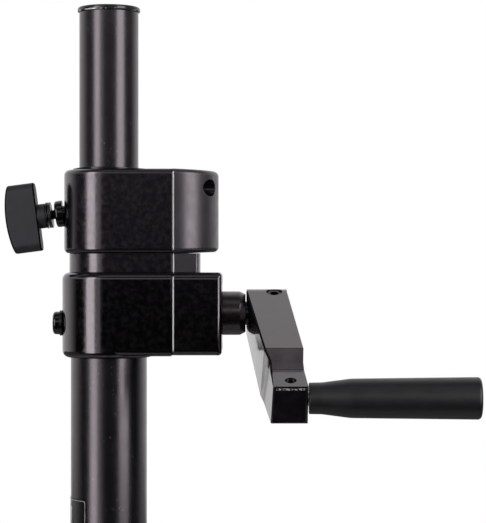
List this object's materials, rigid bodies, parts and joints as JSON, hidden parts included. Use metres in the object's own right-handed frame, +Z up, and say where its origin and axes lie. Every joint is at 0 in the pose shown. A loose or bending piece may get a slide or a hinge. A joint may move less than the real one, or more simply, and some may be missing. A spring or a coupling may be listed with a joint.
{
  "type": "crank lighting stand",
  "caption": "Free-standing tripod stand whose inner mast is raised by a hand crank, cable and pulley, with a locking knob and a socket for a lamp spigot.",
  "frame": {"origin": "on the axis of the column and mast, at the height of the floor", "axes": "+Z up along the mast, +X along the crank shaft towards its grip, -Y the front, which the crank arm points to"},
  "size_m": [1.0588, 0.9216, 1.6285],
  "materials": {
    "black_powder_coat": "satin black powder coat on steel tube",
    "black_enamel": "glossy black enamel on cast aluminium",
    "mast_coat": "satin black powder coat, rubbed by the guide bush",
    "arm_enamel": "glossy black enamel on the steel crank arm",
    "black_plastic": "matte black moulded plastic",
    "grip_plastic": "fine-grained matte black plastic",
    "knob_plastic": "matte black plastic with a fine grain",
    "bush_plastic": "smooth black acetal",
    "glide_plastic": "white acetal",
    "rubber": "black rubber",
    "label_film": "blank black film with a pale border",
    "black_steel": "black oxide",
    "zinc_steel": "zinc-plated",
    "bright_steel": "ground bright",
    "cable_steel": "stranded galvanised wire",
    "bronze": "oiled sintered bronze",
    "brake_lining": "woven friction lining"
  },
  "bodies": {
    "column": {"column_tube": "black_powder_coat", "column_label": "label_film", "base_hub": "black_enamel", "base_plug": "black_plastic", "base_hub_screws": "black_steel", "lower_housing": "black_enamel", "winch_cover": "black_enamel", "winch_cover_screws": "black_steel", "housing_neck": "black_enamel", "neck_cover": "black_enamel", "upper_housing": "black_enamel", "pulley_cap": "black_enamel", "pulley_cap_screws": "black_steel", "clamp_bolt": "black_steel", "clamp_washer": "black_steel", "mast_guide_bush": "bush_plastic", "lock_boss": "bush_plastic", "crank_bearing": "bush_plastic", "shaft_bush": "bronze", "brake_plate": "zinc_steel", "pulley_axle": "bright_steel", "cable_rise": "cable_steel", "lift_cable": "cable_steel"},
    "mast": {"mast_tube": "mast_coat", "mast_top_collar": "black_plastic", "mast_foot_glide": "glide_plastic", "cable_anchor": "bronze"},
    "crank": {"crank_shaft": "bright_steel", "cable_drum": "zinc_steel", "cable_turns": "cable_steel", "friction_disc": "brake_lining", "one_way_clutch": "bright_steel", "shaft_circlip": "black_steel", "crank_arm": "arm_enamel", "arm_set_screws": "black_steel", "grip_axle": "bright_steel"},
    "grip": {"crank_grip": "grip_plastic"},
    "pulley": {"cable_pulley": "bush_plastic"},
    "mast_lock_slider": {"lock_washers": "black_steel", "lock_pad": "bronze"},
    "mast_lock_knob": {"lock_screw": "black_steel", "lock_knob": "knob_plastic"},
    "leg_hub": {"leg_hub": "black_enamel", "leg_hub_liner": "black_plastic", "leg_hub_bolts": "black_steel"},
    "leg_lock_slider": {"leg_lock_washers": "black_steel"},
    "leg_lock_knob": {"leg_lock_screw": "black_steel", "leg_lock_knob": "knob_plastic"},
    "leg_1": {"leg_1": "black_powder_coat", "foot_1": "rubber"},
    "brace_1": {"brace_1": "black_powder_coat", "brace_bolts_1": "black_steel"},
    "leg_2": {"leg_2": "black_powder_coat", "foot_2": "rubber"},
    "brace_2": {"brace_2": "black_powder_coat", "brace_bolts_2": "black_steel"},
    "leg_3": {"leg_3": "black_powder_coat", "foot_3": "rubber"},
    "brace_3": {"brace_3": "black_powder_coat", "brace_bolts_3": "black_steel"}
  },
  "joints": [
    {"name": "mast_lift", "type": "slide", "parent": "column", "child": "mast", "axis": [0, 0, 1], "range_m": [0, 1.1], "deforming": ["lift_cable"]},
    {"name": "crank_turn", "type": "hinge", "parent": "column", "child": "crank", "pos_m": [0.038, 0, 1.44741], "axis": [-1, 0, 0], "range_deg": [0, 3501.42]},
    {"name": "grip_spin", "type": "hinge", "parent": "crank", "child": "grip", "pos_m": [0.15, -0.08459, 1.40284], "axis": [1, 0, 0], "continuous": true},
    {"name": "pulley_turn", "type": "hinge", "parent": "column", "child": "pulley", "pos_m": [0.02868, 0.01316, 1.50331], "axis": [-0.417, 0.9089, 0], "range_deg": [0, 5060.62]},
    {"name": "mast_lock_travel", "type": "slide", "parent": "column", "child": "mast_lock_slider", "axis": [0.9914, 0, 0.1305], "range_m": [-0.0012, 0.0012]},
    {"name": "mast_lock_turn", "type": "hinge", "parent": "mast_lock_slider", "child": "mast_lock_knob", "pos_m": [-0.0264, 0, 1.50661], "axis": [0.9914, 0, 0.1305], "range_deg": [-432.5, 432.5]},
    {"name": "leg_hub_slide", "type": "slide", "parent": "column", "child": "leg_hub", "axis": [0, 0, 1], "range_m": [0, 0.22832]},
    {"name": "leg_1_fold", "type": "hinge", "parent": "leg_hub", "child": "leg_1", "pos_m": [0, -0.048, 0.43881], "axis": [1, 0, 0], "range_deg": [0, 47]},
    {"name": "brace_1_fold", "type": "hinge", "parent": "leg_1", "child": "brace_1", "pos_m": [0, -0.2844, 0.25411], "axis": [-1, 0, 0], "range_deg": [0, 94]},
    {"name": "leg_2_fold", "type": "hinge", "parent": "leg_hub", "child": "leg_2", "pos_m": [0.04157, 0.024, 0.43881], "axis": [-0.5, 0.866, 0], "range_deg": [0, 47]},
    {"name": "brace_2_fold", "type": "hinge", "parent": "leg_2", "child": "brace_2", "pos_m": [0.2463, 0.1422, 0.25411], "axis": [0.5, -0.866, 0], "range_deg": [0, 94]},
    {"name": "leg_3_fold", "type": "hinge", "parent": "leg_hub", "child": "leg_3", "pos_m": [-0.04157, 0.024, 0.43881], "axis": [-0.5, -0.866, 0], "range_deg": [0, 47]},
    {"name": "brace_3_fold", "type": "hinge", "parent": "leg_3", "child": "brace_3", "pos_m": [-0.2463, 0.1422, 0.25411], "axis": [0.5, 0.866, 0], "range_deg": [0, 94]},
    {"name": "leg_lock_travel", "type": "slide", "parent": "leg_hub", "child": "leg_lock_slider", "axis": [0.866, 0.5, 0], "range_m": [-0.0012, 0.0005]},
    {"name": "leg_lock_turn", "type": "hinge", "parent": "leg_lock_slider", "child": "leg_lock_knob", "pos_m": [-0.02594, -0.01498, 0.43881], "axis": [0.866, 0.5, 0], "range_deg": [-432.5, 180.5]}
  ],
  "couplings": [
    {"joint": "crank_turn", "follows": "mast_lift", "rad_per_m": 55.556},
    {"joint": "pulley_turn", "follows": "mast_lift", "rad_per_m": 80.295},
    {"joint": "mast_lock_turn", "follows": "mast_lock_travel", "rad_per_m": 6283.2},
    {"joint": "leg_lock_turn", "follows": "leg_lock_travel", "rad_per_m": 6283.2},
    {"joint": "leg_1_fold", "follows": "leg_hub_slide", "rad_per_m": 3.5928},
    {"joint": "brace_1_fold", "follows": "leg_hub_slide", "rad_per_m": 7.1856},
    {"joint": "leg_2_fold", "follows": "leg_hub_slide", "rad_per_m": 3.5928},
    {"joint": "brace_2_fold", "follows": "leg_hub_slide", "rad_per_m": 7.1856},
    {"joint": "leg_3_fold", "follows": "leg_hub_slide", "rad_per_m": 3.5928},
    {"joint": "brace_3_fold", "follows": "leg_hub_slide", "rad_per_m": 7.1856}
  ]
}
